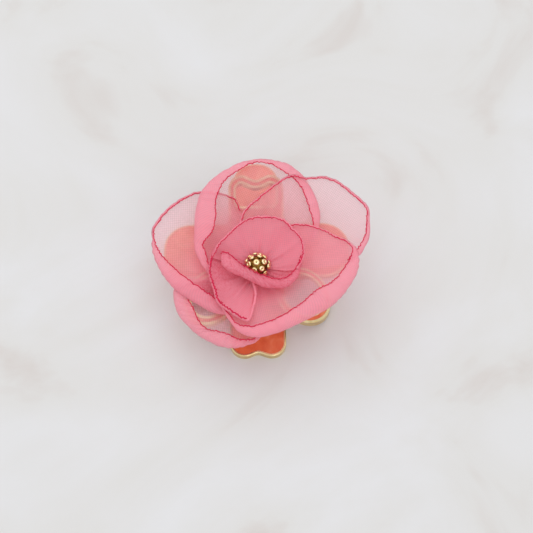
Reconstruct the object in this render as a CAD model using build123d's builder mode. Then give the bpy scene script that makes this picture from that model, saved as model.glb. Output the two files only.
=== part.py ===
"""Flower hair clip: an enamelled metal claw with an organza flower on its front jaw.

Millimetres. +Z is up, +Y runs from the teeth to the thumb tabs, and the origin is on the flat
underside of the back jaw, on the clip's middle line and 9.5 mm in front of the hinge pin.
The clip lies on its back jaw, closed.
"""

import os
from math import acos, atan2, copysign, cos, degrees, hypot, radians, sin, sqrt

from build123d import *

# ---- driving dimensions ----------------------------------------------------------------------

# Cast metal and the enamel fields let into it
plate_thickness = 2.0
jaw_thickness = 1.6
rim_width = 0.7
enamel_depth = 0.6
enamel_sink = 0.1  # how far the enamel lies below its rim
edge_bevel = 0.3  # on the rim, so a flat land is left beside the enamel

# Back jaw, a flat plate of four petals: width, reach, corner radius and depth of the tip's notch
hub_radius = 11.0
hub_y = 3.0
tooth = (17.0, 31.8, 4.4, 3.6)
thumb_tab = (13.8, 35.4, 6.4, 0.0)
side_petal = (18.7, 28.8, 8.4, 0.0)
side_petal_y = 4.4
notch_round = 2.5
tooth_field_start = 9.5
thumb_field_start = 15.5
side_field_start = 10.5

# Front jaw, a hub with two tooth loops on a dome and a thumb loop on a flared neck
flower_y = -9.0
front_top_z = 12.5
dome_radius = 33.0
front_hub_radius = 8.5
loop_radius = 8.5
loop_band = 2.3
loop_x = 14.0
loop_y = -14.2
neck_width = 13.0
neck_flare_start = 6.0
neck_flare_radius = 34.0
thumb_loop = (17.0, 17.8, 4.0, 3.6)
thumb_loop_start = 5.0
thumb_hole_start = 13.8
hole_corner = 1.5
thumb_enamel_start = 7.5

# Hinge
hinge_y = 9.5
hinge_z = 6.5
pin_radius = 1.0
pin_clearance = 0.05
pin_head_radius = 1.6
pin_head_thickness = 0.6
pin_head_round = 0.4
lug_radius = 2.3
lug_thickness = 1.5
lug_clearance = 0.2
front_lug_x = 3.9  # inner face of each front lug

# Torsion spring
wire_radius = 0.35
spring_radius = 2.0  # centre of the wire
spring_turns = 6
spring_pitch = 0.95
spring_leg_reach = 3.0  # past the pin, towards the tabs
spring_gap = 0.05  # left between a leg and the jaw that it presses on

# Flower
pad_radius = 8.0
pad_thickness = 1.0
stem_radius = 0.9
stem_clearance = 0.2
stem_head_radius = 1.8
stem_head_thickness = 0.5
petal_thickness = 0.3
petal_pitch = 0.5  # from one petal to the next up the stem
petal_back = 3.0  # how far a petal reaches past the stem, away from its own tip
stamen_radius = 3.1
stamen_height = 2.6
bead_radius = 0.72
bead_rings = ((0.0, 1), (34.0, 5), (66.0, 8))  # angle down from the top, and beads in the ring

# Each petal from the lowest up: direction in degrees from +X, reach, width, radius of its bowl
petals = {
    "petal_lower_left": (236, 28.0, 32.0, 120.0),
    "petal_left": (168, 33.0, 39.0, 85.0),
    "petal_top": (90, 33.0, 39.0, 62.0),
    "petal_right": (43, 34.0, 40.0, 50.0),
    "petal_lower_right": (317, 29.0, 42.0, 44.0),
    "petal_inner_left": (228, 19.0, 21.0, 30.0),
    "petal_cup_front": (282, 11.0, 22.0, 21.0),
    "petal_cup_back": (72, 14.0, 25.0, 18.0),
}

# ---- derived places --------------------------------------------------------------------------

clear_of_all = 60.0  # taller and wider than the clip
dome_centre_z = front_top_z - dome_radius
pad_top_z = front_top_z + pad_thickness
cup_bowl = petals["petal_cup_back"][3]
cup_rise = cup_bowl - sqrt(cup_bowl**2 - (stamen_radius + bead_radius) ** 2)
stack_top_z = pad_top_z + petal_pitch * len(petals) + cup_rise
back_lug_x = front_lug_x + lug_thickness + lug_clearance
pin_half_length = back_lug_x + lug_thickness + lug_clearance

os.makedirs("parts", exist_ok=True)


def save(part, name):
    """Labels a finished piece and writes it to its own file."""
    part.label = name
    export_step(part, f"parts/{name}.step")


# ---- outlines --------------------------------------------------------------------------------


def petal_outline(shape, start=0.0):
    """A straight-sided petal that runs to +Y from start, its tip rounded or in two bumps."""
    width, reach, corner, notch = shape
    half = width / 2
    slope = notch / half
    # Rounding the corner of a sloping tip lowers it, so the corner is drawn this much further out
    tip = start + reach + corner * (slope + sqrt(1 + slope**2) - 1)
    points = [(-half, start), (half, start), (half, tip), (-half, tip)]
    if notch:
        points.insert(3, (0, tip - notch))
    with BuildSketch() as outline:
        with BuildLine():
            Polyline(*points, close=True)
        make_face()
        fillet(outline.vertices().group_by(Axis.Y)[-1], corner)
        if notch:
            fillet(outline.vertices().sort_by_distance((0, tip - notch))[0], notch_round)
    return outline.sketch


def ring_outline(side, outer, inner):
    """The plan of one tooth loop between two radii."""
    with BuildSketch() as outline:
        with Locations((side * loop_x, loop_y)):
            Circle(outer)
            Circle(inner, mode=Mode.SUBTRACT)
    return outline.sketch


def inside(outline, inset, start, corner=0.0):
    """What is left of an outline inside this inset and beyond start along Y."""
    with BuildSketch() as smaller:
        add(outline)
        offset(amount=-inset, mode=Mode.REPLACE)
        with Locations((0, start)):
            Rectangle(
                clear_of_all, clear_of_all, align=(Align.CENTER, Align.MIN), mode=Mode.INTERSECT
            )
        if corner:
            fillet(smaller.vertices().group_by(Axis.Y)[0], corner)
    return smaller.sketch


# ---- back jaw --------------------------------------------------------------------------------

# Each petal of the back jaw: its shape, where its enamel starts, its direction and its root
back_petals = {
    "back_thumb_enamel": (thumb_tab, thumb_field_start, 0, 0),
    "back_tooth_enamel": (tooth, tooth_field_start, 180, 0),
    "left_petal_enamel": (side_petal, side_field_start, 90, side_petal_y),
    "right_petal_enamel": (side_petal, side_field_start, -90, side_petal_y),
}
back_fields = {}

with BuildPart() as back_jaw_frame:
    with BuildSketch():
        with Locations((0, hub_y)):
            Circle(hub_radius)
        for name, (shape, start, angle, root_y) in back_petals.items():
            outline = petal_outline(shape)
            add(Location((0, root_y, 0), (0, 0, angle)) * outline)
            back_fields[name] = Location((0, root_y, 0), (0, 0, angle)) * inside(
                outline, rim_width, start
            )
    extrude(amount=plate_thickness)
    chamfer(back_jaw_frame.faces().sort_by(Axis.Z)[-1].edges(), edge_bevel)
    with BuildSketch(Plane.XY.offset(plate_thickness)):
        for outline in back_fields.values():
            add(outline)
    extrude(amount=-enamel_depth, mode=Mode.SUBTRACT)
    for side in (-1, 1):
        lug_plane = Plane.YZ.offset(side * (back_lug_x + lug_thickness / 2))
        with BuildSketch(lug_plane):
            with Locations((hinge_y, hinge_z)):
                Circle(lug_radius)
            with Locations((hinge_y, plate_thickness - enamel_depth)):
                lug_height = hinge_z - plate_thickness + enamel_depth
                Rectangle(2 * lug_radius, lug_height, align=(Align.CENTER, Align.MIN))
        extrude(amount=lug_thickness / 2, both=True)
    with Locations(Location((0, hinge_y, hinge_z), (0, 90, 0))):
        Cylinder(pin_radius, clear_of_all, mode=Mode.SUBTRACT)
save(back_jaw_frame.part, "back_jaw_frame")

for name, outline in back_fields.items():
    with BuildPart() as enamel:
        with BuildSketch(Plane.XY.offset(plate_thickness - enamel_depth)):
            add(outline)
        extrude(amount=enamel_depth - enamel_sink)
    save(enamel.part, name)

# ---- front jaw -------------------------------------------------------------------------------


def dome_layer(depth, thickness):
    """A layer of the front jaw's dome, this far under its outer surface."""
    with BuildPart() as layer:
        with Locations((0, flower_y, dome_centre_z)):
            Sphere(dome_radius - depth)
            Sphere(dome_radius - depth - thickness, mode=Mode.SUBTRACT)
    return layer.part


def neck_layer(depth, thickness):
    """A layer of the flat neck that flares up to the thumb loop, this far under its top."""
    top = front_top_z - depth
    flare = 34.0  # degrees of the flare's arc, more than the thumb loop uses
    with BuildPart() as layer:
        with BuildSketch(Plane.YZ):
            with BuildLine():
                start = flower_y - front_hub_radius
                upper = Line((start, top), (neck_flare_start, top))
                upper_arc = JernArc(upper @ 1, (1, 0), neck_flare_radius + depth, flare)
                lower = Line((start, top - thickness), (neck_flare_start, top - thickness))
                lower_arc = JernArc(
                    lower @ 1, (1, 0), neck_flare_radius + depth + thickness, flare
                )
                Line(upper @ 0, lower @ 0)
                Line(upper_arc @ 1, lower_arc @ 1)
            make_face()
        extrude(amount=clear_of_all, both=True)
    return layer.part


def cut_from(layer, outline):
    """What an outline, taken straight up through the clip, leaves of a layer."""
    with BuildPart() as piece:
        with BuildSketch():
            add(outline)
        extrude(amount=clear_of_all)
        add(layer, mode=Mode.INTERSECT)
    return piece.part


loop_plan = petal_outline(thumb_loop, thumb_loop_start)
hole = inside(loop_plan, loop_band, thumb_hole_start, hole_corner)
with BuildSketch() as neck_outline:
    with Locations((0, flower_y)):
        Circle(front_hub_radius)
        neck_length = thumb_hole_start - flower_y
        Rectangle(neck_width, neck_length, align=(Align.CENTER, Align.MIN))
    add(loop_plan)
    add(hole, mode=Mode.SUBTRACT)
    with Locations((0, flower_y)):
        Circle(stem_radius, mode=Mode.SUBTRACT)

with BuildSketch() as thumb_field:
    add(inside(loop_plan, rim_width, thumb_enamel_start))
    hole_start = thumb_hole_start - rim_width
    add(
        inside(loop_plan, loop_band - rim_width, hole_start, hole_corner + rim_width),
        mode=Mode.SUBTRACT,
    )

enamel_thickness = enamel_depth - enamel_sink
dome_body = dome_layer(0, jaw_thickness)
dome_pocket = dome_layer(-enamel_depth, 2 * enamel_depth)
dome_fill = dome_layer(enamel_sink, enamel_thickness)
neck_body = neck_layer(0, jaw_thickness)
neck_pocket = neck_layer(-enamel_depth, 2 * enamel_depth)
neck_fill = neck_layer(enamel_sink, enamel_thickness)

loops = {side: ring_outline(side, loop_radius, loop_radius - loop_band) for side in (-1, 1)}
loop_fields = {
    side: ring_outline(side, loop_radius - rim_width, loop_radius - loop_band + rim_width)
    for side in (-1, 1)
}
with BuildSketch() as hub_plan:
    with Locations((0, flower_y)):
        Circle(front_hub_radius + rim_width)
for side in (-1, 1):
    loop_fields[side] = (loop_fields[side] - hub_plan.sketch).faces().sort_by(Axis.Y)[0]

with BuildPart() as front_jaw_frame:
    add(cut_from(neck_body, neck_outline.sketch))
    for side in (-1, 1):
        add(cut_from(dome_body, loops[side]))
    for side in (-1, 1):
        add(cut_from(dome_pocket, loop_fields[side]), mode=Mode.SUBTRACT)
    add(cut_from(neck_pocket, thumb_field.sketch), mode=Mode.SUBTRACT)
    for side in (-1, 1):
        with BuildSketch(Plane.YZ.offset(side * (front_lug_x + lug_thickness / 2))):
            with Locations((hinge_y, hinge_z)):
                Circle(lug_radius)
                lug_height = front_top_z - jaw_thickness / 2 - hinge_z
                Rectangle(2 * lug_radius, lug_height, align=(Align.CENTER, Align.MIN))
        extrude(amount=lug_thickness / 2, both=True)
    with Locations(Location((0, hinge_y, hinge_z), (0, 90, 0))):
        Cylinder(pin_radius + pin_clearance, clear_of_all, mode=Mode.SUBTRACT)
save(front_jaw_frame.part, "front_jaw_frame")

with BuildPart() as thumb_loop_enamel:
    add(cut_from(neck_fill, thumb_field.sketch))
save(thumb_loop_enamel.part, "thumb_loop_enamel")

for side, name in ((-1, "left_loop_enamel"), (1, "right_loop_enamel")):
    with BuildPart() as loop_enamel:
        add(cut_from(dome_fill, loop_fields[side]))
    save(loop_enamel.part, name)

# ---- hinge pin and torsion spring ------------------------------------------------------------

with BuildPart() as hinge_pin:
    with Locations(Location((0, hinge_y, hinge_z), (0, 90, 0))):
        Cylinder(pin_radius, 2 * pin_half_length)
    for side in (-1, 1):
        head_x = side * (pin_half_length + pin_head_thickness / 2)
        with Locations(Location((head_x, hinge_y, hinge_z), (0, 90, 0))):
            Cylinder(pin_head_radius, pin_head_thickness)
    fillet(hinge_pin.faces().sort_by(Axis.X)[0].edges(), pin_head_round)
    fillet(hinge_pin.faces().sort_by(Axis.X)[-1].edges(), pin_head_round)
save(hinge_pin.part, "hinge_pin")

# Each leg leaves the coil along its tangent and ends just short of the jaw that it presses on
coil_length = spring_turns * spring_pitch
flare_radius = neck_flare_radius + jaw_thickness
flare_length = hinge_y + spring_leg_reach - neck_flare_start
flare_rise = flare_radius - sqrt(flare_radius**2 - flare_length**2)
leg_gap = wire_radius + spring_gap
back_tip_z = plate_thickness + leg_gap - hinge_z
front_tip_z = front_top_z - jaw_thickness + flare_rise - leg_gap - hinge_z


def leg_root(tip_z):
    """The angle round the pin, up from +Y, at which the leg to this height leaves the coil."""
    lean = degrees(acos(spring_radius / hypot(spring_leg_reach, tip_z)))
    return degrees(atan2(tip_z, spring_leg_reach)) + copysign(lean, tip_z)


def leg_length(tip_z):
    """How far it is from where a leg leaves the coil to its tip."""
    return sqrt(spring_leg_reach**2 + tip_z**2 - spring_radius**2)


back_root = leg_root(back_tip_z)
turns = spring_turns + 1 + (back_root - leg_root(front_tip_z)) / 360
coil_frame = Plane(
    origin=(-coil_length / 2, hinge_y, hinge_z),
    x_dir=(0, cos(radians(back_root)), sin(radians(back_root))),
    z_dir=(1, 0, 0),
)
coil = coil_frame.location * Helix(coil_length / turns, coil_length, spring_radius, lefthand=True)
with BuildPart() as torsion_spring:
    with BuildLine() as spring_wire:
        Line(coil @ 0 - (coil % 0) * leg_length(back_tip_z), coil @ 0)
        add(coil)
        Line(coil @ 1, coil @ 1 + (coil % 1) * leg_length(front_tip_z))
    wire_start = spring_wire.wires()[0]
    with BuildSketch(Plane(origin=wire_start @ 0, z_dir=wire_start % 0)):
        Circle(wire_radius)
    sweep(path=wire_start)
save(torsion_spring.part, "torsion_spring")

# ---- flower ----------------------------------------------------------------------------------

with BuildPart() as flower_pad:
    with BuildSketch(Plane.XY.offset(front_top_z)):
        with Locations((0, flower_y)):
            Circle(pad_radius)
            Circle(stem_radius + stem_clearance, mode=Mode.SUBTRACT)
    extrude(amount=pad_thickness)
save(flower_pad.part, "flower_pad")

for order, (name, (angle, reach, width, bowl)) in enumerate(petals.items()):
    petal_z = pad_top_z + petal_pitch * order + (petal_pitch - petal_thickness) / 2
    oval_centre = (reach - petal_back) / 2
    with BuildPart() as petal:
        with BuildSketch():
            centre = (oval_centre * cos(radians(angle)), oval_centre * sin(radians(angle)) + flower_y)
            with Locations(Location(centre, angle)):
                Ellipse((reach + petal_back) / 2, width / 2)
            with Locations((0, flower_y)):
                Circle(stem_radius + stem_clearance, mode=Mode.SUBTRACT)
        extrude(amount=petal_z + bowl)
        with Locations((0, flower_y, petal_z + bowl)):
            Sphere(bowl, mode=Mode.INTERSECT)
            Sphere(bowl - petal_thickness, mode=Mode.SUBTRACT)
    save(petal.part, name)

with BuildPart() as stamen_stem:
    with BuildSketch(Plane.XY.offset(front_top_z - jaw_thickness - stem_head_thickness)):
        with Locations((0, flower_y)):
            Circle(stem_head_radius)
    extrude(amount=stem_head_thickness)
    with BuildSketch(Plane.XY.offset(front_top_z - jaw_thickness)):
        with Locations((0, flower_y)):
            Circle(stem_radius)
    extrude(amount=stack_top_z - front_top_z + jaw_thickness)
save(stamen_stem.part, "stamen_stem")

# The dome is the cap of a sphere with this height over a base of the stamen's radius
cap_radius = (stamen_radius**2 + stamen_height**2) / (2 * stamen_height)
cap_centre_z = stack_top_z + stamen_height - cap_radius
with BuildPart() as stamen_dome:
    with BuildSketch(Plane.XY.offset(stack_top_z)):
        with Locations((0, flower_y)):
            Circle(stamen_radius)
    extrude(amount=stamen_height)
    with Locations((0, flower_y, cap_centre_z)):
        Sphere(cap_radius, mode=Mode.INTERSECT)
save(stamen_dome.part, "stamen_dome")

with BuildPart() as stamen_beads:
    for tilt, count in bead_rings:
        for place in range(count):
            turn = radians(360 * place / count + tilt)
            out = cap_radius * sin(radians(tilt))
            height = cap_centre_z + cap_radius * cos(radians(tilt))
            with Locations((out * cos(turn), flower_y + out * sin(turn), height)):
                Sphere(bead_radius)
    add(stamen_dome.part, mode=Mode.SUBTRACT)
save(stamen_beads.part, "stamen_beads")
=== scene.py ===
# %% [markdown]
# # A flower hair clip
# A small enamelled hair claw lies closed on its back jaw. A flower of sheer organza, with a
# beaded centre, is fixed on its front jaw. The metal comes from the CAD model. Everything soft is
# made here: eight petals, their hem threads and the felt under them. The spring is made again, as
# one wire. Lengths in this script are in metres, and `mm` turns a workshop size into metres.

# %% Load the CAD frame
import math
import random

import bpy
import numpy as np
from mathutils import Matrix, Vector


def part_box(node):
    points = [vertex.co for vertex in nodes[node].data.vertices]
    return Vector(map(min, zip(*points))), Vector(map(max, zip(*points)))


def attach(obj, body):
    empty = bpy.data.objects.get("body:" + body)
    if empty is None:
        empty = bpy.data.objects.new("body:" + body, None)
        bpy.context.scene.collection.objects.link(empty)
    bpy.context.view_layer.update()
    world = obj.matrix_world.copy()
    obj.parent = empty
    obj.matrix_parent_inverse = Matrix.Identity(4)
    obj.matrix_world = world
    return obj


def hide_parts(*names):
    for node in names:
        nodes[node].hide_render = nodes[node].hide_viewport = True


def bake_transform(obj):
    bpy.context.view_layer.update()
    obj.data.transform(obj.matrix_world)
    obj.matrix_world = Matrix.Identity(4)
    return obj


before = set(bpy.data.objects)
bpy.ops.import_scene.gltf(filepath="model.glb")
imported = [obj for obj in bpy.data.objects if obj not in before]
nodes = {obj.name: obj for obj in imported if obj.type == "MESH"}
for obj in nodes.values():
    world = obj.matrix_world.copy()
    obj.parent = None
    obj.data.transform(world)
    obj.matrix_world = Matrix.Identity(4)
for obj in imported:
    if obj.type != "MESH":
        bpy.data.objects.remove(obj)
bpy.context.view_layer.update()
mm = 0.001
flower_axis = np.array([0.0, -9.0, 0.0]) * mm
hinge = np.array([0.0, 9.5, 6.5]) * mm

# %% [markdown]
# ## Small helpers
# Colours are written as the hex values that a swatch shows, and one function turns them into the
# linear values that shaders want. One function adds a node with its options and its inputs. The
# short ones after it add the nodes that nearly every finish needs, and give back their output,
# so each material below reads like its node graph.


# %% Colour and node helpers
def linear(hex_colour):
    """Linear RGBA from an sRGB hex value."""
    channels = [int(hex_colour[i : i + 2], 16) / 255 for i in (1, 3, 5)]
    return [c / 12.92 if c <= 0.04045 else ((c + 0.055) / 1.055) ** 2.4 for c in channels] + [1.0]


def node(tree, kind, sockets=None, **options):
    """Adds a node. options are its own settings; sockets maps inputs to values or outputs."""
    new = tree.nodes.new(kind)
    for name, value in options.items():
        setattr(new, name, value)
    for name, value in (sockets or {}).items():
        if isinstance(value, bpy.types.NodeSocket):
            tree.links.new(value, new.inputs[name])
        else:
            new.inputs[name].default_value = value
    return new


def new_finish(name):
    """An empty node material and its tree."""
    material = bpy.data.materials.new(name)
    material.use_nodes = True
    material.node_tree.nodes.clear()
    return material, material.node_tree


def show(tree, shader):
    """Sends a shader to its material's surface."""
    node(tree, "ShaderNodeOutputMaterial", {"Surface": shader})


def place_on(tree):
    """Where a point lies on its own object, in metres."""
    return node(tree, "ShaderNodeTexCoord").outputs["Object"]


def noise(tree, place, scale, detail, distortion=0.0):
    """A soft noise from 0 to 1, with scale spots to a metre."""
    sockets = {"Vector": place, "Scale": scale, "Detail": detail, "Distortion": distortion}
    return node(tree, "ShaderNodeTexNoise", sockets).outputs["Fac"]


def spread(tree, value, low, high, start=0.0, end=1.0):
    """Maps a value that runs from start to end onto low to high."""
    sockets = {"Value": value, "From Min": start, "From Max": end, "To Min": low, "To Max": high}
    return node(tree, "ShaderNodeMapRange", sockets).outputs["Result"]


def calculate(tree, operation, *values, clamp=False):
    """The result of one math node."""
    sockets = dict(enumerate(values))
    new = node(tree, "ShaderNodeMath", sockets, operation=operation, use_clamp=clamp)
    return new.outputs["Value"]


def tinted(tree, value, stops):
    """A colour ramp's colour. stops are (place, hex colour)."""
    new = node(tree, "ShaderNodeValToRGB", {"Fac": value})
    ramp = new.color_ramp
    while len(ramp.elements) < len(stops):
        ramp.elements.new(0.5)
    for element, (place, hex_colour) in zip(ramp.elements, stops):
        element.position = place
        element.color = linear(hex_colour)
    return new.outputs["Color"]


def bumped(tree, height, strength, distance):
    """A normal that follows a height, where full height is distance metres."""
    sockets = {"Height": height, "Strength": strength, "Distance": distance}
    return node(tree, "ShaderNodeBump", sockets).outputs["Normal"]


def principled(tree, sockets):
    """The shader of one Principled BSDF."""
    return node(tree, "ShaderNodeBsdfPrincipled", sockets).outputs["BSDF"]


def mixed(tree, share, first, second):
    """Two shaders mixed, with a share of the second from 0 to 1."""
    return node(tree, "ShaderNodeMixShader", {0: share, 1: first, 2: second}).outputs["Shader"]


def select_only(piece):
    """Makes one object the only selected one, and the active one."""
    bpy.ops.object.select_all(action="DESELECT")
    bpy.context.view_layer.objects.active = piece
    piece.select_set(True)


print("helpers are ready")

# %% [markdown]
# ## Camera
# A long lens looks steeply down at the flower, so the petals read as a rosette and the tooth of
# the back jaw shows in front. The lens is long because small things are shot from well back.

# %% Camera
aim = np.array([2.8, -10.5, 19.9]) * mm
elevation = math.radians(63)
azimuth = math.radians(-1.0)
distance = 0.6
towards_camera = np.array(
    [
        math.sin(azimuth) * math.cos(elevation),
        -math.cos(azimuth) * math.cos(elevation),
        math.sin(elevation),
    ]
)
bpy.ops.object.camera_add(
    location=aim + distance * towards_camera, rotation=(math.pi / 2 - elevation, 0, azimuth)
)
camera = bpy.context.object
camera.data.lens = 135
camera.data.sensor_width = 36
camera.data.clip_start = 0.01
bpy.context.scene.camera = camera
print("camera at", tuple(round(c, 3) for c in camera.location))

# %% [markdown]
# ## Table and light
# The table is a pale, faintly clouded stone. The light is a broad soft lamp above and behind,
# with an even pale world, so shadows are weak and lie in front of the clip. Sheer cloth is many
# layers deep, so rays may pass through more see-through surfaces than usual.

# %% Table, lamps and world
table_finish, tree = new_finish("honed_pale_marble")
clouds = noise(tree, place_on(tree), 14.0, 5.0, distortion=1.6)
tint = tinted(tree, clouds, [(0.3, "#d1cbc8"), (0.42, "#d9d8d7"), (0.65, "#dddddf")])
stone = {"Base Color": tint, "Roughness": 0.5, "Specular IOR Level": 0.2}
show(tree, principled(tree, stone))
bpy.ops.object.select_all(action="DESELECT")
bpy.ops.mesh.primitive_plane_add(size=6, location=(0, 0, 0))
table = bpy.context.object
table.name = "table_top"
table.data.materials.append(table_finish)


def soft_lamp(name, place, watts, size):
    """A square area lamp that faces the flower."""
    bpy.ops.object.light_add(type="AREA", location=place)
    lamp = bpy.context.object
    lamp.name = name
    lamp.data.energy = watts
    lamp.data.size = size
    away = lamp.location.normalized()
    lamp.rotation_euler = away.to_track_quat("Z", "Y").to_euler()


soft_lamp("window_light", (-0.35, 0.7, 1.3), 8.1, 1.9)
soft_lamp("front_fill", (0.6, -1.0, 1.1), 3.3, 1.2)

world = bpy.data.worlds.new("pale_studio")
bpy.context.scene.world = world
world.use_nodes = True
tree = world.node_tree
tree.nodes.clear()
rays = node(tree, "ShaderNodeLightPath")
light = node(tree, "ShaderNodeBackground", {"Color": linear("#ffffff"), "Strength": 0.8})
shown = node(tree, "ShaderNodeBackground", {"Color": linear("#e6e6e7"), "Strength": 1.0})
seen = calculate(
    tree, "MAXIMUM", rays.outputs["Is Camera Ray"], rays.outputs["Is Glossy Ray"]
)
both = mixed(tree, seen, light.outputs["Background"], shown.outputs["Background"])
node(tree, "ShaderNodeOutputWorld", {"Surface": both})
bpy.context.scene.cycles.transparent_max_bounces = 40
bpy.context.scene.view_settings.view_transform = "Standard"

# %% [markdown]
# ## Gold plating and spring steel
# The jaws are cast in zinc alloy, tumbled smooth and plated with pale gold. A metal takes its
# colour from its base colour, and its softness from roughness. Faint clouds in the roughness and
# a very low bump keep the plating from looking computed. The pin and the spring are drawn steel,
# which is greyer and has finer marks.

# %% Gold plating and spring steel
plating_spots, plating_detail = 350.0, 3.0
plating_tints = [(0.3, "#dcc18a"), (0.7, "#efdcae")]
plating_roughness = (0.16, 0.34)

gold, tree = new_finish("gold_plated_zinc_casting")
clouds = noise(tree, place_on(tree), plating_spots, plating_detail)
plated = {
    "Base Color": tinted(tree, clouds, plating_tints),
    "Metallic": 1.0,
    "Roughness": spread(tree, clouds, *plating_roughness),
    "Normal": bumped(tree, clouds, 0.15, 0.1 * mm),
}
show(tree, principled(tree, plated))

steel, tree = new_finish("bright_drawn_spring_steel")
scratches = noise(tree, place_on(tree), 1200.0, 2.0)
drawn = {
    "Base Color": linear("#c9c8c5"),
    "Metallic": 1.0,
    "Roughness": spread(tree, scratches, 0.2, 0.38),
}
show(tree, principled(tree, drawn))
print("finishes:", gold.name, "and", steel.name)

# %% [markdown]
# ## Coral enamel
# Soft enamel is a coloured resin that is dripped into the trays and cured, so it has a deep
# colour under a clear glossy skin, a few cloudy streaks, and a surface that sinks very slightly.
# A coat over a plain colour gives that depth.

# %% Coral enamel
enamel, tree = new_finish("coral_soft_enamel")
place = place_on(tree)
streaks = noise(tree, place, 160.0, 4.0, distortion=1.2)
waves = noise(tree, place, 220.0, 1.0)
resin = {
    "Base Color": tinted(
        tree, streaks, [(0.3, "#de5a33"), (0.55, "#e87045"), (0.75, "#f09069")]
    ),
    "Roughness": 0.4,
    "Specular IOR Level": 0.3,
    "Coat Weight": 0.35,
    "Coat Roughness": 0.08,
    "Normal": bumped(tree, waves, 0.25, 0.3 * mm),
}
show(tree, principled(tree, resin))
print("finish:", enamel.name)

# %% [markdown]
# ## Back jaw, part gold and part painted shade
# Only the tooth of the back jaw is meant to be seen bare, so only its rim shows the plating. The
# rest of that casting lies under the flower, where the tops of its rims are given a coral colour
# as painted shade, which dulls their glint, and their walls stay gold. One finish covers both: a
# gold and a coral shader, mixed by where the metal lies along the clip, with a step 3 mm long,
# and by how far up it faces.

# %% Gold plating with coral painted shade
gold_with_painted_shade, tree = new_finish("gold_plating_with_painted_shade")
place = node(tree, "ShaderNodeTexCoord")
along_clip = node(tree, "ShaderNodeSeparateXYZ", {"Vector": place.outputs["Object"]})
facing = node(tree, "ShaderNodeSeparateXYZ", {"Vector": place.outputs["Normal"]})
# Under the flower, metal that faces up turns coral: painted shade that dulls the glint of the rim
# tops.
under_flower = spread(tree, along_clip.outputs["Y"], 0.0, 0.85, start=-22 * mm, end=-19 * mm)
on_top = spread(tree, facing.outputs["Z"], 0.0, 1.0, start=0.4, end=0.9)
clouds = noise(tree, place.outputs["Object"], plating_spots, plating_detail)
plated = {
    "Base Color": tinted(tree, clouds, plating_tints),
    "Metallic": 1.0,
    "Roughness": spread(tree, clouds, *plating_roughness),
}
shade_coral = {
    "Base Color": tinted(tree, clouds, [(0.3, "#dd7c58"), (0.7, "#e9946f")]),
    "Roughness": 0.4,
    "Specular IOR Level": 0.3,
}
painted_shade_share = calculate(tree, "MULTIPLY", under_flower, on_top)
show(tree, mixed(tree, painted_shade_share, principled(tree, plated), principled(tree, shade_coral)))
print("finish:", gold_with_painted_shade.name)

# %% [markdown]
# ## Bead gold and old gold
# The beads are polished, so they are paler and smoother than the plating. The cap they sit on is
# darkened with a patina that stays in its pits, which makes the beads stand out. Cells of a
# Voronoi texture serve as pits, because each is lowest in its middle.

# %% Bead gold and old gold
bead_gold, tree = new_finish("bright_gold_bead")
clouds = noise(tree, place_on(tree), 900.0, 2.0)
polished = {
    "Base Color": tinted(tree, clouds, [(0.3, "#ecd596"), (0.7, "#fcf0c4")]),
    "Metallic": 1.0,
    "Roughness": 0.22,
}
show(tree, principled(tree, polished))

old_gold, tree = new_finish("dark_antique_gold_cap")
cells = node(tree, "ShaderNodeTexVoronoi", {"Vector": place_on(tree), "Scale": 1500.0})
pits = cells.outputs["Distance"]
darkened = {
    "Base Color": tinted(tree, pits, [(0.1, "#6d4d1c"), (0.6, "#967232")]),
    "Metallic": 1.0,
    "Roughness": 0.4,
    "Normal": bumped(tree, pits, 0.5, 0.2 * mm),
}
show(tree, principled(tree, darkened))
print("finishes:", bead_gold.name, "and", old_gold.name)

# %% [markdown]
# ## Finishes for the CAD pieces
# The hard pieces keep their exact CAD shape, so they only need a finish. A CAD piece already has
# a material slot, and putting a finish into that slot changes nothing else.

# %% Give the CAD metal and enamel their finishes
finish_of = {
    "back_jaw_frame": gold_with_painted_shade,
    "front_jaw_frame": gold,
    "hinge_pin": steel,
    "stamen_stem": old_gold,
    "stamen_dome": old_gold,
    "stamen_beads": bead_gold,
}
for name, piece in nodes.items():
    if name.endswith("_enamel"):
        finish_of[name] = enamel
    if name in finish_of:
        for slot in piece.material_slots:
            slot.material = finish_of[name]
print("finished in metal or enamel:", sorted(finish_of))

# %% [markdown]
# ## Organza
# Organza is a plain weave of very fine hard-twisted thread with open gaps, so a single layer
# lets about half of the light through and layers add up to a solid pink. The cloth is a
# see-through shader whose alpha is a weave of two sets of threads, with thicker places, called
# slubs, here and there. Real threads lie 0.2 mm apart, too fine to show, so they are drawn
# 0.6 mm apart. Light also passes through the threads, which is what the translucent part gives.
# A point attribute of closeness says where the cloth is doubled over at its edge or bunched at
# its middle, from 0 for a single layer to 1 for a solid one, and it also carries painted shade.
# Closer cloth is denser and redder, and the threads and slubs shift that tone a little too. The
# palest tint, on a single layer, is partly painted sheen, and the deepest red, at full closeness,
# is painted shade in the cup and round the stem.

# %% Organza
thread_pitch = 0.6 * mm
single_cover, solid_cover = 0.47, 0.95  # alpha at closeness 0 and 1
slub_cover, slub_tone = 0.12, 0.05  # how far slubs change alpha and tone
thread_cover, thread_tone = 0.035, 0.025  # how far each set of threads does
light_through = 0.2

organza, tree = new_finish("sheer_pink_silk_organza")
cut = node(tree, "ShaderNodeUVMap", uv_map="cut").outputs["UV"]
run = node(tree, "ShaderNodeSeparateXYZ", {"Vector": cut})
threads = []
for direction in ("X", "Y"):
    phase = calculate(tree, "MULTIPLY", run.outputs[direction], 2 * math.pi / thread_pitch)
    threads.append(calculate(tree, "SINE", phase))
weave = calculate(tree, "ADD", *threads)
slubs = noise(tree, cut, 1300.0, 2.0)
closeness_and_shade = node(
    tree, "ShaderNodeAttribute", attribute_name="closeness_and_shade", attribute_type="GEOMETRY"
).outputs["Fac"]

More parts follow.
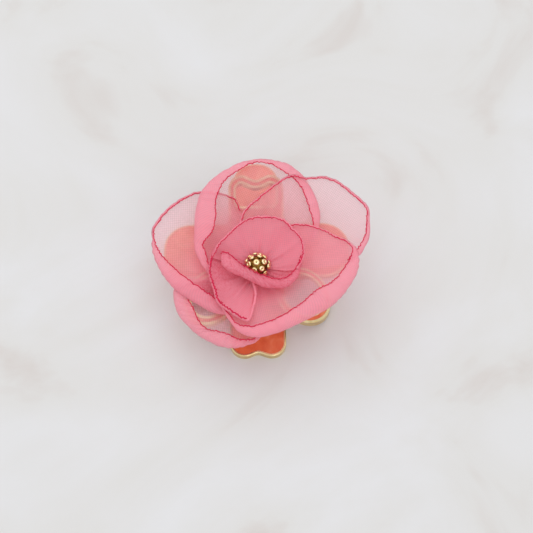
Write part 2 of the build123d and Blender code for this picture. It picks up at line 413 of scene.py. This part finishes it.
cover = spread(tree, closeness_and_shade, single_cover, solid_cover)
cover = calculate(tree, "MULTIPLY_ADD", weave, thread_cover, cover)
cover = calculate(tree, "MULTIPLY_ADD", slubs, slub_cover, cover)
alpha = calculate(tree, "SUBTRACT", cover, slub_cover / 2, clamp=True)

tone = spread(tree, slubs, -slub_tone, slub_tone, start=0.3, end=0.7)
tone = calculate(tree, "MULTIPLY_ADD", weave, thread_tone, tone)
tone = calculate(tree, "ADD", tone, closeness_and_shade)
# The first stop is paler partly as painted sheen on a single layer; the last, deep red stop is
# painted shade in the cup and round the stem.
tint = tinted(
    tree, tone, [(0.0, "#f7bac4"), (0.5, "#fba9b9"), (0.84, "#f796a8"), (1.0, "#df6078")]
)

cloth = {
    "Base Color": tint,
    "Roughness": 0.55,
    "Specular IOR Level": 0.3,
    "Alpha": alpha,
    "Normal": bumped(tree, cover, 0.2, 0.05 * mm),
}
glow = node(tree, "ShaderNodeBsdfTranslucent", {"Color": tint}).outputs["BSDF"]
gaps = node(tree, "ShaderNodeBsdfTransparent").outputs["BSDF"]
lit_through = mixed(tree, alpha, gaps, glow)
show(tree, mixed(tree, light_through, principled(tree, cloth), lit_through))
print("finish:", organza.name)

# %% [markdown]
# ## Hem thread finish
# The edges are sewn with a matt polyester thread, several shades deeper than the cloth. A fine
# noise stands for its plies, which catch the light by turns.

# %% Hem thread finish
hem_thread, tree = new_finish("crimson_polyester_thread")
plies = noise(tree, place_on(tree), 2500.0, 2.0)
fibre = {
    "Base Color": tinted(tree, plies, [(0.3, "#c41040"), (0.7, "#e42d58")]),
    "Roughness": 0.6,
    "Specular IOR Level": 0.25,
}
show(tree, principled(tree, fibre))
print("finish:", hem_thread.name)

# %% [markdown]
# ## Petal patterns
# Each petal is one sheet that starts at the stem, spreads as a shallow bowl and rolls over at its
# edge, where a crimson thread holds the cut edge. So a petal needs only two lines: the fold,
# which is its outline, and the hem, which lies inside the fold where the edge has rolled in. The
# rows below give both, station by station round the petal, in millimetres from the stem's foot
# on the table: hem x, y, z, then fold x, y, z. The first number of a petal is the height at which
# it leaves the stem.

# %% Petal stations
stations = {
    "petal_lower_left": (13.9, [
        (-21.6, -5.9, 15.9, -24.2, -2.6, 15.0),
        (-21.5, -9.0, 16.3, -25.6, -5.9, 15.4),
        (-19.9, -12.5, 16.3, -25.3, -11.2, 15.4),
        (-18.7, -16.0, 16.2, -23.8, -14.7, 15.3),
        (-16.5, -19.2, 16.0, -20.7, -18.7, 15.1),
        (-13.1, -20.3, 15.8, -16.9, -22.1, 14.9),
        (-9.9, -21.5, 15.7, -12.4, -24.6, 14.8),
        (-7.1, -23.0, 15.5, -8.0, -25.5, 14.8),
        (-4.3, -23.4, 15.4, -4.4, -24.9, 15.0),
        (-1.4, -22.7, 15.7, -0.8, -23.5, 15.4),
        (1.2, -17.2, 15.8, 1.9, -17.7, 15.6),
    ]),
    "petal_left": (14.4, [
        (-4.1, 19.4, 16.9, -3.8, 20.0, 16.8),
        (-5.7, 23.1, 17.7, -5.5, 23.5, 17.6),
        (-10.3, 24.8, 18.3, -10.2, 25.5, 18.2),
        (-15.9, 25.5, 18.7, -16.0, 26.2, 18.6),
        (-21.2, 23.5, 18.8, -21.5, 24.1, 18.6),
        (-26.1, 19.8, 18.8, -26.7, 20.4, 18.6),
        (-29.9, 14.9, 18.6, -30.6, 15.3, 18.4),
        (-30.7, 11.9, 18.4, -31.2, 11.5, 18.2),
        (-29.9, 7.7, 18.3, -31.2, 6.4, 17.8),
        (-27.6, 3.5, 18.3, -29.6, 1.2, 17.5),
        (-24.1, -0.6, 18.2, -27.5, -2.8, 17.3),
        (-20.1, -4.5, 18.1, -24.5, -6.9, 17.2),
        (-15.2, -8.6, 17.9, -19.5, -10.8, 17.0),
        (-11.6, -11.9, 17.8, -15.0, -13.9, 16.9),
        (-9.4, -14.1, 17.0, -10.4, -15.4, 16.6),
    ]),
    "petal_top": (14.9, [
        (-14.3, -2.3, 18.2, -14.1, -3.2, 18.0),
        (-14.7, 1.1, 18.9, -16.7, 1.0, 18.4),
        (-15.5, 5.0, 19.7, -18.4, 5.5, 19.0),
        (-15.9, 7.1, 20.2, -18.6, 8.4, 19.5),
        (-12.8, 11.1, 20.9, -18.4, 12.4, 20.0),
        (-11.6, 16.0, 21.3, -18.0, 16.9, 20.4),
        (-11.5, 20.2, 21.5, -17.1, 21.0, 20.6),
        (-10.6, 23.7, 21.7, -15.7, 24.7, 20.8),
        (-8.0, 27.9, 21.9, -12.4, 28.4, 21.0),
        (-4.3, 30.5, 22.1, -7.8, 31.7, 21.2),
        (-0.4, 32.9, 22.0, -2.7, 33.9, 21.4),
        (3.4, 33.4, 21.8, 2.5, 34.5, 21.5),
        (7.0, 32.1, 21.8, 7.6, 33.9, 21.4),
        (10.2, 29.4, 21.9, 11.7, 32.3, 21.2),
        (13.3, 26.7, 21.7, 15.7, 28.2, 21.0),
        (15.2, 23.2, 21.6, 18.2, 23.4, 20.8),
        (16.7, 17.7, 21.0, 19.8, 17.9, 20.2),
        (17.8, 12.2, 20.1, 19.9, 12.9, 19.6),
        (16.8, 7.5, 19.2, 18.2, 7.6, 18.8),
    ]),
    "petal_right": (15.4, [
        (-4.6, 10.9, 19.1, -5.0, 11.0, 19.0),
        (-3.9, 13.8, 20.1, -4.4, 14.2, 20.0),
        (-2.3, 17.4, 20.7, -2.7, 17.9, 20.6),
        (1.7, 20.9, 21.1, 1.3, 21.4, 21.0),
        (7.1, 25.0, 21.7, 6.8, 25.5, 21.6),
        (11.5, 27.5, 22.1, 11.3, 28.0, 22.0),
        (13.8, 27.3, 22.3, 13.9, 27.9, 22.2),
        (17.0, 26.2, 22.5, 17.1, 26.7, 22.4),
        (21.7, 26.0, 22.9, 21.9, 26.6, 22.8),
        (25.8, 23.8, 23.4, 26.3, 24.4, 23.2),
        (30.2, 19.1, 23.8, 30.9, 19.6, 23.6),
        (33.7, 14.5, 24.0, 34.4, 14.9, 23.8),
        (33.8, 10.4, 23.8, 34.7, 10.2, 23.6),
        (32.9, 5.4, 23.3, 34.0, 5.0, 23.0),
        (30.5, 1.6, 22.4, 31.6, 0.4, 22.0),
        (27.1, -1.4, 20.8, 27.9, -2.3, 20.5),
    ]),
    "petal_lower_right": (15.9, [
        (5.7, 10.6, 20.6, 5.7, 11.2, 20.5),
        (10.0, 11.0, 21.1, 10.0, 11.5, 21.0),
        (14.2, 10.8, 21.7, 14.3, 11.4, 21.6),
        (19.2, 8.9, 22.3, 19.5, 9.4, 22.2),
        (23.7, 5.8, 22.7, 24.1, 6.2, 22.6),
        (27.8, 3.1, 22.9, 28.3, 3.5, 22.8),
        (28.7, 0.6, 23.0, 30.3, 0.2, 22.6),
        (26.9, -3.5, 22.9, 29.9, -5.3, 22.0),
        (22.4, -8.6, 22.1, 26.5, -11.0, 21.2),
        (17.1, -11.1, 21.4, 22.5, -15.1, 20.5),
        (12.6, -14.7, 20.9, 17.1, -18.2, 20.0),
        (7.8, -17.6, 20.4, 10.8, -21.0, 19.5),
        (2.9, -19.7, 19.9, 4.1, -23.3, 19.0),
        (-2.8, -20.9, 19.4, -2.0, -24.1, 18.6),
        (-6.9, -19.6, 18.8, -6.6, -21.9, 18.2),
        (-9.5, -15.9, 18.6, -9.7, -17.3, 18.2),
        (-12.4, -9.4, 18.6, -13.0, -10.1, 18.4),
        (-13.9, -3.5, 18.5, -14.4, -3.6, 18.4),
    ]),
    "petal_inner_left": (16.4, [
        (-9.3, 7.3, 20.7, -9.7, 7.8, 20.5),
        (-11.5, 5.1, 21.0, -12.0, 5.8, 20.8),
        (-13.5, 1.6, 20.9, -14.1, 1.8, 20.8),
        (-14.2, -3.5, 20.7, -14.7, -3.5, 20.6),
        (-13.0, -8.2, 20.5, -13.7, -8.5, 20.3),
        (-12.1, -12.3, 20.2, -12.6, -12.7, 20.0),
        (-9.0, -15.3, 20.0, -9.3, -15.9, 19.8),
        (-4.1, -18.7, 19.8, -3.9, -19.3, 19.6),
        (-2.4, -14.7, 19.6, -1.7, -14.7, 19.4),
        (-1.4, -10.6, 19.6, -0.7, -10.3, 19.4),
        (-1.9, -6.1, 19.2, -1.2, -5.8, 19.0),
    ]),
    "petal_cup_front": (16.9, [
        (13.6, 1.1, 21.8, 14.2, 1.0, 21.6),
        (11.7, -3.1, 21.5, 12.9, -3.3, 21.2),
        (8.9, -6.1, 21.5, 11.7, -6.2, 20.8),
        (5.6, -6.8, 21.5, 8.8, -8.8, 20.6),
        (1.9, -5.5, 21.4, 5.0, -9.1, 20.5),
        (-1.7, -3.5, 21.4, 0.8, -8.3, 20.5),
        (-4.9, -1.1, 21.5, -2.8, -6.0, 20.6),
        (-7.5, 1.6, 21.7, -6.4, -4.0, 20.8),
        (-9.8, 3.0, 21.9, -9.2, -2.4, 21.0),
        (-10.7, 2.4, 22.0, -10.7, -0.8, 21.2),
    ]),
    "petal_cup_back": (17.4, [
        (-13.1, 2.0, 21.1, -13.5, 2.0, 21.0),
        (-11.3, 4.8, 22.6, -11.8, 5.2, 22.5),
        (-8.6, 7.2, 23.7, -8.9, 7.8, 23.6),
        (-4.1, 10.9, 24.5, -4.3, 11.4, 24.4),
        (-0.3, 12.3, 24.9, -0.4, 12.8, 24.8),
        (3.0, 12.3, 25.1, 3.0, 12.9, 25.0),
        (6.7, 11.7, 25.1, 6.9, 12.2, 25.0),
        (9.0, 10.3, 25.0, 9.5, 10.9, 24.8),
        (10.7, 8.3, 24.6, 11.2, 8.7, 24.4),
        (12.7, 6.3, 24.1, 13.2, 6.6, 24.0),
        (13.8, 3.2, 23.7, 14.3, 3.3, 23.6),
        (13.5, -0.7, 23.1, 14.0, -0.7, 23.0),
        (11.4, -3.9, 22.5, 12.0, -4.1, 22.3),
    ]),
}
# For each petal: how close the cloth of its body lies, at even steps round it, and the two
# distances from the stem, in millimetres, between which it loosens from bunched to that. Values
# near 1 are partly painted shade, as they reach the deep red end of the cloth's tint;
# petal_left's last three are that high to darken it near its end.
bodies = {
    "petal_lower_left": ((0.0, 0.0, 0.0, 0.0, 0.1), 9, 16),
    "petal_left": ((0.0, 0.0, 0.0, 0.0, 0.0, 0.15, 0.9, 0.97, 1.0), 15, 24),
    "petal_top": ((0.3, 0.1, 0.0, 0.0, 0.0, 0.0, 0.0, 0.0, 0.0), 9, 18),
    "petal_right": ((0.1, 0.05, 0.0, 0.0, 0.0, 0.0, 0.0, 0.1, 0.2), 8, 15),
    "petal_lower_right": (
        (0.6, 0.55, 0.5, 0.5, 0.4, 0.3, 0.2, 0.25, 0.45, 0.5, 0.55, 0.55, 0.55),
        10,
        18,
    ),
    "petal_inner_left": ((0.95, 0.92, 0.86, 0.8, 0.8, 0.85), 2, 13),
    "petal_cup_front": ((0.9, 0.9, 0.92, 0.9, 0.88), 2, 12),
    "petal_cup_back": ((0.82, 0.78, 0.78, 0.78, 0.82), 3, 15),
}
threaded_stations = {"petal_inner_left": 8}  # its last side is a fold, with no thread
print("stations:", {name: len(rows) for name, (_, rows) in stations.items()})

# %% [markdown]
# ## Sewing the petals
# A sheet is a grid: columns run from the stem over the belly and the fold to the hem, and rows
# run round the petal. A smooth curve through the stations gives every column its fold and hem,
# and a smooth curve through seven points gives the column itself. The grid also keeps the flat
# cut: how far each point lies from the stem along the cloth, and how far round. The weave follows
# that, as it does on real cloth.


# %% Petal sheets
def smooth_line(points, count):
    """A smooth line of count points through the given ones, evenly spaced along it."""
    points = np.asarray(points, float)
    padded = np.vstack([2 * points[0] - points[1], points, 2 * points[-1] - points[-2]])
    pieces = []
    for i in range(1, len(points)):
        p0, p1, p2, p3 = padded[i - 1 : i + 3]
        t = np.linspace(0, 1, 24, endpoint=False)[:, None]
        pieces.append(
            p1
            + 0.5 * t * (p2 - p0)
            + t**2 * (p0 - 2.5 * p1 + 2 * p2 - 0.5 * p3)
            + t**3 * (-0.5 * p0 + 1.5 * p1 - 1.5 * p2 + 0.5 * p3)
        )
    line = np.vstack([*pieces, points[-1:]])
    along = np.concatenate([[0], np.cumsum(np.linalg.norm(np.diff(line, axis=0), axis=1))])
    wanted = np.linspace(0, along[-1], count)
    return np.column_stack([np.interp(wanted, along, line[:, k]) for k in range(line.shape[1])])


columns, rows = 150, 46
stem_ring = 1.3 * mm
askew = math.radians(2.5)  # the flower sits a little turned on the clip
flower_turn = np.array([[math.cos(askew), -math.sin(askew)], [math.sin(askew), math.cos(askew)]])
# Where a row of points passes between the stem and the fold: shares of the reach and of the rise
belly = [(0.3, 0.02), (0.66, 0.3), (0.88, 0.68)]
tuck_share, tuck_most = 0.3, 1.3 * mm  # how round the rolled edge is
pleat_height, gather_height, ripple_height = 0.22 * mm, 0.55 * mm, 0.17 * mm
gather_rise, gather_end = 0.12, 0.55  # where gathers are full and gone, as shares of a column
# The second value is how strongly the gathers near the stem are painted darker and paler: painted
# shade and painted light on the creases.
roll_closeness, gather_painted_shade = 0.71, 0.16
outer_bunching = 0.85  # how close the outer petals lie at the stem
roll_reach, roll_blur = 1.15, 0.9 * mm  # the doubled cloth fades out just inside its fold


def waves_round(around, count, phase):
    """A sine with count waves round the petal. phase is in turns."""
    return np.sin(2 * math.pi * (count * around + phase))


def petal_rows(foot, edges):
    """The smooth surface of one petal, from its foot height and its hem and fold lines."""
    grid = np.zeros((columns, rows, 3))
    up = np.array([0, 0, 1.0])
    for i, edge in enumerate(edges):
        hem, crease = edge[:3], edge[3:]
        out = np.array([crease[0], crease[1], 0.0])
        reach = np.linalg.norm(out)
        out /= reach
        rise = crease[2] - foot
        tuck = min(tuck_share * np.linalg.norm(hem - crease), tuck_most)
        # The last three points turn the cloth over: under its fold, over the roll, and the hem
        spine = [
            out * stem_ring + up * foot,
            *(out * reach * far + up * (foot + high * rise) for far, high in belly),
            crease - up * 0.45 * tuck,
            0.75 * crease + 0.25 * hem + up * 0.55 * tuck,
            hem,
        ]
        grid[i] = smooth_line(spine, rows)
    return grid


def flat_cut(grid):
    """How far each point lies from the stem along the cloth, and its place on the flat cut."""
    steps = np.linalg.norm(np.diff(grid, axis=1), axis=2)
    length = np.concatenate([np.full((columns, 1), stem_ring), steps], axis=1).cumsum(axis=1)
    fold_row = -8  # the widest row, where the cloth turns over
    fold_steps = np.linalg.norm(np.diff(grid[:, fold_row], axis=0), axis=1)
    angle = np.concatenate([[0], np.cumsum(fold_steps / length[1:, fold_row])])[:, None]
    return length, np.stack([length * np.cos(angle), length * np.sin(angle)], axis=2)


def petal_grid(name, turn):
    """Points of one petal, its flat cut and how close its cloth lies, which also holds painted
    shade, each on a grid.
    """
    foot, table_rows = stations[name]
    edges = smooth_line(np.array(table_rows) * mm, columns)
    for k in (0, 3):
        edges[:, k : k + 2] = edges[:, k : k + 2] @ flower_turn.T
    grid = petal_rows(foot * mm, edges)

    # Each petal gets its own waves: long pleats, gathers near the stem, ripples by the hem
    around = np.linspace(0, 1, columns)[:, None]
    inward = np.linspace(0, 1, rows)[None, :]
    pleats = (
        waves_round(around, 6.3, 0.37 * turn)
        + 0.6 * waves_round(around, 11.7, 0.61 * turn)
        + 0.4 * np.sin(2 * math.pi * (3.1 * around + 1.9 * inward + 0.2 * turn))
    )
    grid[:, :, 2] += pleat_height * pleats * np.sin(math.pi * inward) ** 0.8
    gathers = waves_round(around, 8.5, 0.43 * turn) * waves_round(around, 3.2, 0.17 * turn)
    near_stem = np.clip(inward / gather_rise, 0, 1) * np.clip(1 - inward / gather_end, 0, 1)
    grid[:, :, 2] += gather_height * gathers * near_stem
    ripples = waves_round(around, 17, 0.29 * turn) + 0.7 * waves_round(around, 29, 0.53 * turn)
    fine = waves_round(around, 47, 0.41 * turn) * waves_round(around, 5.3, 0)
    grid[:, :, 2] += ripple_height * (ripples + 0.8 * fine) * inward**5

    length, cut = flat_cut(grid)
    roll_width = np.linalg.norm(edges[:, :3] - edges[:, 3:], axis=1)[:, None]
    from_hem = length[:, -1:] - length
    in_roll = np.clip(roll_reach - (from_hem - roll_width) / roll_blur, 0, 1)
    values, near, far = bodies[name]
    body = np.interp(around, np.linspace(0, 1, len(values)), values)
    outer = min(values) < 0.5
    if outer:
        body = body * (1 - in_roll)
    if values[0] > 0.5:  # in close cloth the gathers also show as darker and paler lines, painted shade and painted light along the creases
        body = body + gather_painted_shade * gathers * near_stem
    bunched = np.clip((far * mm - length) / ((far - near) * mm), 0, 1)
    bunched = (outer_bunching if outer else 1.0) * bunched
    grid += flower_axis
    return grid, cut, np.maximum.reduce([roll_closeness * in_roll, body + 0 * length, bunched])


def hem_share(name, count):
    """The share of a petal's stations, measured along them, up to the one of this count."""
    line = np.array(stations[name][1])
    along = np.linalg.norm(np.diff(line, axis=0), axis=1)
    return along[: count - 1].sum() / along.sum()


def sew_petal(name, turn):
    grid, cut, cloth_closeness_and_shade = petal_grid(name, turn)
    faces = [
        (i * rows + j, (i + 1) * rows + j, (i + 1) * rows + j + 1, i * rows + j + 1)
        for i in range(columns - 1)
        for j in range(rows - 1)
    ]
    mesh = bpy.data.meshes.new(f"organza_{name}")
    mesh.from_pydata(grid.reshape(-1, 3).tolist(), [], faces)
    sheet = bpy.data.objects.new(f"organza_{name}", mesh)
    bpy.context.collection.objects.link(sheet)
    uv = mesh.uv_layers.new(name="cut")
    flat = cut.reshape(-1, 2)
    for loop in mesh.loops:
        uv.data[loop.index].uv = flat[loop.vertex_index]
    values = mesh.attributes.new("closeness_and_shade", "FLOAT", "POINT")
    values.data.foreach_set("value", cloth_closeness_and_shade.reshape(-1).astype(np.float32))
    mesh.materials.append(organza)
    for polygon in mesh.polygons:
        polygon.use_smooth = True
    if sum(polygon.normal.z for polygon in mesh.polygons) < 0:
        mesh.flip_normals()
    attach(sheet, "front_jaw")
    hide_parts(name)
    sewn_stations = threaded_stations.get(name, len(stations[name][1]))
    sewn_columns = int(columns * hem_share(name, sewn_stations))
    hem = sew_hem(name, grid[:sewn_columns, -1], turn)


print("each sheet has", columns * rows, "points")

# %% [markdown]
# ## Hem threads
# A narrow overlock stitch rolls each raw edge, and reads as a crimson line that wanders a little.
# It is a curve with a round bevel that follows the last row of the sheet, stepping from side to
# side as the stitches do, and is then turned into a mesh.


# %% Hem thread
thread_radius = 0.17 * mm
stitch_step = 0.55 * mm
side_step, side_slack = 0.1, 0.14  # how far a stitch goes to its side, in millimetres
thread_lift = 0.14 * mm
tongue_thread_scale = 1.4  # the tongue is sewn with a thicker thread


def sew_hem(name, edge, turn):
    """A thread along one petal's edge, as a mesh."""
    stitches = random.Random(turn)
    length = np.linalg.norm(np.diff(edge, axis=0), axis=1).sum()
    line = smooth_line(edge, int(length / stitch_step))
    curve = bpy.data.curves.new(f"hem_{name}", "CURVE")
    curve.dimensions = "3D"
    curve.bevel_depth = thread_radius * (tongue_thread_scale if name in threaded_stations else 1)
    curve.bevel_resolution = 1
    spline = curve.splines.new("POLY")
    spline.points.add(len(line) - 1)
    for i, point in enumerate(line):
        side = line[min(i + 1, len(line) - 1)] - line[max(i - 1, 0)]
        side = np.array([-side[1], side[0], 0.0])
        side /= np.linalg.norm(side) + 1e-9
        wander = (side_step * (-1) ** i + stitches.uniform(-side_slack, side_slack)) * mm
        spline.points[i].co = (*(point + side * wander + [0, 0, thread_lift]), 1.0)
        spline.points[i].radius = stitches.uniform(0.7, 1.2)
    hem = bpy.data.objects.new(f"hem_{name}", curve)
    bpy.context.collection.objects.link(hem)
    select_only(hem)
    bpy.ops.object.convert(target="MESH")
    hem = bpy.context.object
    bpy.ops.object.shade_smooth()
    hem.data.materials.clear()
    hem.data.materials.append(hem_thread)
    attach(hem, "front_jaw")
    return hem


print("a stitch every", stitch_step / mm, "mm")

# %% [markdown]
# ## The flower
# The petals are sewn from the lowest to the innermost, as they lie on the stem. Each one's number
# in that order shifts its waves, so no two look alike.

# %% Sew all eight petals
for turn, name in enumerate(stations):
    sew_petal(name, turn)
print("petals sewn:", len(stations))

# %% [markdown]
# ## Felt pad
# A punched disc of wool felt spreads the stack's load on the metal. It is drawn from the edge of
# its hole outwards: a circle is extruded and scaled in rings, thickened, rounded at its edges and
# roughened, because felt has no flat spot.

# %% Felt pad
felt, tree = new_finish("pink_wool_felt")
fibres = noise(tree, place_on(tree), 1800.0, 5.0)
wool = {
    "Base Color": tinted(tree, fibres, [(0.3, "#c9607a"), (0.7, "#e6899c")]),
    "Roughness": 0.95,
    "Sheen Weight": 0.4,
    "Normal": bumped(tree, fibres, 0.8, 0.2 * mm),
}
show(tree, principled(tree, wool))

pad_low, pad_high = (np.array(corner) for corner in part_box("flower_pad"))
pad_thickness = float(pad_high[2] - pad_low[2])
pad_radius = float(pad_high[0] - pad_low[0]) / 2
ring_radii = [1.2, 2.6, 4.2, 5.8, 7.2, pad_radius / mm - 0.1]  # the hole's first, in millimetres
bpy.ops.object.select_all(action="DESELECT")
bpy.ops.mesh.primitive_circle_add(
    vertices=72,
    radius=ring_radii[0] * mm,
    location=(0, float(flower_axis[1]), float(pad_low[2]) + 0.5 * pad_thickness),
)
pad = bpy.context.object
pad.name = "felt_pad"
bpy.ops.object.mode_set(mode="EDIT")
for inner, outer in zip(ring_radii, ring_radii[1:]):
    bpy.ops.mesh.extrude_edges_move()
    bpy.ops.transform.resize(value=(outer / inner, outer / inner, 1))
bpy.ops.object.mode_set(mode="OBJECT")
bpy.ops.object.transform_apply(location=True, rotation=True, scale=True)
thicken = pad.modifiers.new("thickness", "SOLIDIFY")
thicken.thickness = 0.86 * pad_thickness
thicken.offset = 0
bpy.ops.object.modifier_apply(modifier=thicken.name)
soften = pad.modifiers.new("soft_edge", "BEVEL")
soften.width = 0.3 * mm
soften.segments = 3
bpy.ops.object.modifier_apply(modifier=soften.name)
rough = random.Random(8)
fuzz_height = 0.03  # millimetres
for vertex in pad.data.vertices:
    vertex.co.z += rough.uniform(-fuzz_height, fuzz_height) * mm
bpy.ops.object.shade_smooth()
pad.data.materials.append(felt)
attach(pad, "front_jaw")
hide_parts("flower_pad")
print("pad", round(2 * pad_radius / mm, 1), "mm across")

# %% [markdown]
# ## Torsion spring
# The spring is one wire: a leg, a little over six turns round the pin and another leg. Opening
# the clip winds the coil tighter while each leg stays on its own jaw. Here the wire is made once,
# with the clip closed: one leg lies by the back jaw, the other by the front jaw, and the coil
# turns evenly between them along the pin.

# %% Torsion spring
wire_radius = 0.35 * mm
coil_radius = 2.0 * mm
coil_half = 2.85 * mm
leg_reach = 3.0 * mm
back_tip, front_tip = -4.1 * mm, 4.598 * mm  # heights of the leg tips over the pin
whole_turns, coil_points = 7, 230  # part of the first and last turn is left to the legs


def leg_root(tip):
    """The angle round the pin at which the leg to this height leaves the coil."""
    lean = math.acos(coil_radius / math.hypot(leg_reach, tip))
    return math.atan2(tip, leg_reach) + math.copysign(lean, tip)


first = leg_root(back_tip)
last = leg_root(front_tip) - whole_turns * 2 * math.pi
pitch = 2 * coil_half / (first - last)
coil = []
for angle in np.linspace(first, last, coil_points):
    along = -coil_half + pitch * (first - angle)
    coil.append([along, coil_radius * math.cos(angle), coil_radius * math.sin(angle)])
coil = np.array(coil)
leg_start = [-coil_half - 0.33 * mm, leg_reach, back_tip]
leg_end = [coil_half + 0.36 * mm, leg_reach, front_tip]
shares = np.linspace(0, 1, 7)[:-1, None]
wire = np.vstack(
    [
        leg_start + (coil[0] - leg_start) * shares,
        coil,
        (leg_end + (coil[-1] - leg_end) * shares)[::-1],
    ]
)
curve = bpy.data.curves.new("spring_wire", "CURVE")
curve.dimensions = "3D"
curve.bevel_depth = wire_radius
curve.bevel_resolution = 3
curve.use_fill_caps = True
spline = curve.splines.new("POLY")
spline.points.add(len(wire) - 1)
for spline_point, point in zip(spline.points, wire):
    spline_point.co = (*(point + hinge), 1.0)
spring = bpy.data.objects.new("spring_wire", curve)
bpy.context.collection.objects.link(spring)
select_only(spring)
bpy.ops.object.convert(target="MESH")
spring = bpy.context.object
bpy.ops.object.shade_smooth()
spring.data.materials.append(steel)
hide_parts("torsion_spring")
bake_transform(spring)
print("spring wire:", len(wire), "points,", round((first - last) / (2 * math.pi), 2), "turns")

# %% [markdown]
# ## Stamen beads
# The centre is a dark domed cap with small drilled beads soldered round it, each pointing
# outwards. A drilled bead is a ring so fat that its hole nearly closes, so it starts as a torus.
# Each torus is added at its place on the cap and turned to face outwards, and then all of them
# are joined into one piece. They differ a little in size, as small cast beads do.

# %% Stamen beads
low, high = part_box("stamen_dome")
dome_radius = float(high[0] - low[0]) / 2
dome_height = float(high[2] - low[2])
cap_radius = (dome_radius**2 + dome_height**2) / (2 * dome_height)
cap_centre = np.array([0, flower_axis[1], float(high[2]) - cap_radius])
# Each bead: degrees round from +X, degrees up from the rim, and size
bead_places = [
    (253, 80, 1.1),
    (42, 34, 0.95),
    (66, 57, 1.0),
    (140, 55, 0.95),
    (163, 24, 0.9),
    (196, 46, 1.0),
    (355, 55, 1.05),
    (347, 19, 1.0),
    (301, 45, 1.0),
    (252, 42, 1.0),
    (100, 28, 0.9),
    (14, 8, 0.9),
    (75, 12, 0.9),
    (128, 8, 0.9),
    (218, 16, 0.9),
    (310, 12, 0.9),
]
bead_hole, bead_round = 0.5 * mm, 0.41 * mm
bead_lift = 0.6 * mm
beads = []
for around, rise, scale in bead_places:
    around, rise = math.radians(around), math.radians(rise)
    out = np.array(
        [
            math.cos(around) * math.cos(rise),
            math.sin(around) * math.cos(rise),
            math.sin(rise),
        ]
    )
    bpy.ops.object.select_all(action="DESELECT")
    bpy.ops.mesh.primitive_torus_add(
        location=cap_centre + out * (cap_radius + bead_lift),
        rotation=(0, math.pi / 2 - rise, around),
        major_radius=bead_hole * scale,
        minor_radius=bead_round * scale,
        major_segments=20,
        minor_segments=12,
    )
    bpy.ops.object.transform_apply(location=True, rotation=True, scale=True)
    bpy.ops.object.shade_smooth()
    beads.append(bpy.context.object)
bpy.ops.object.select_all(action="DESELECT")
for bead in beads:
    bead.select_set(True)
bpy.context.view_layer.objects.active = beads[0]
bpy.ops.object.join()
beads = bpy.context.object
beads.name = "drilled_gold_beads"
bpy.ops.object.origin_set(type="ORIGIN_CURSOR")
beads.data.materials.clear()
beads.data.materials.append(bead_gold)
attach(beads, "front_jaw")
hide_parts("stamen_beads")
print("beads:", len(bead_places))
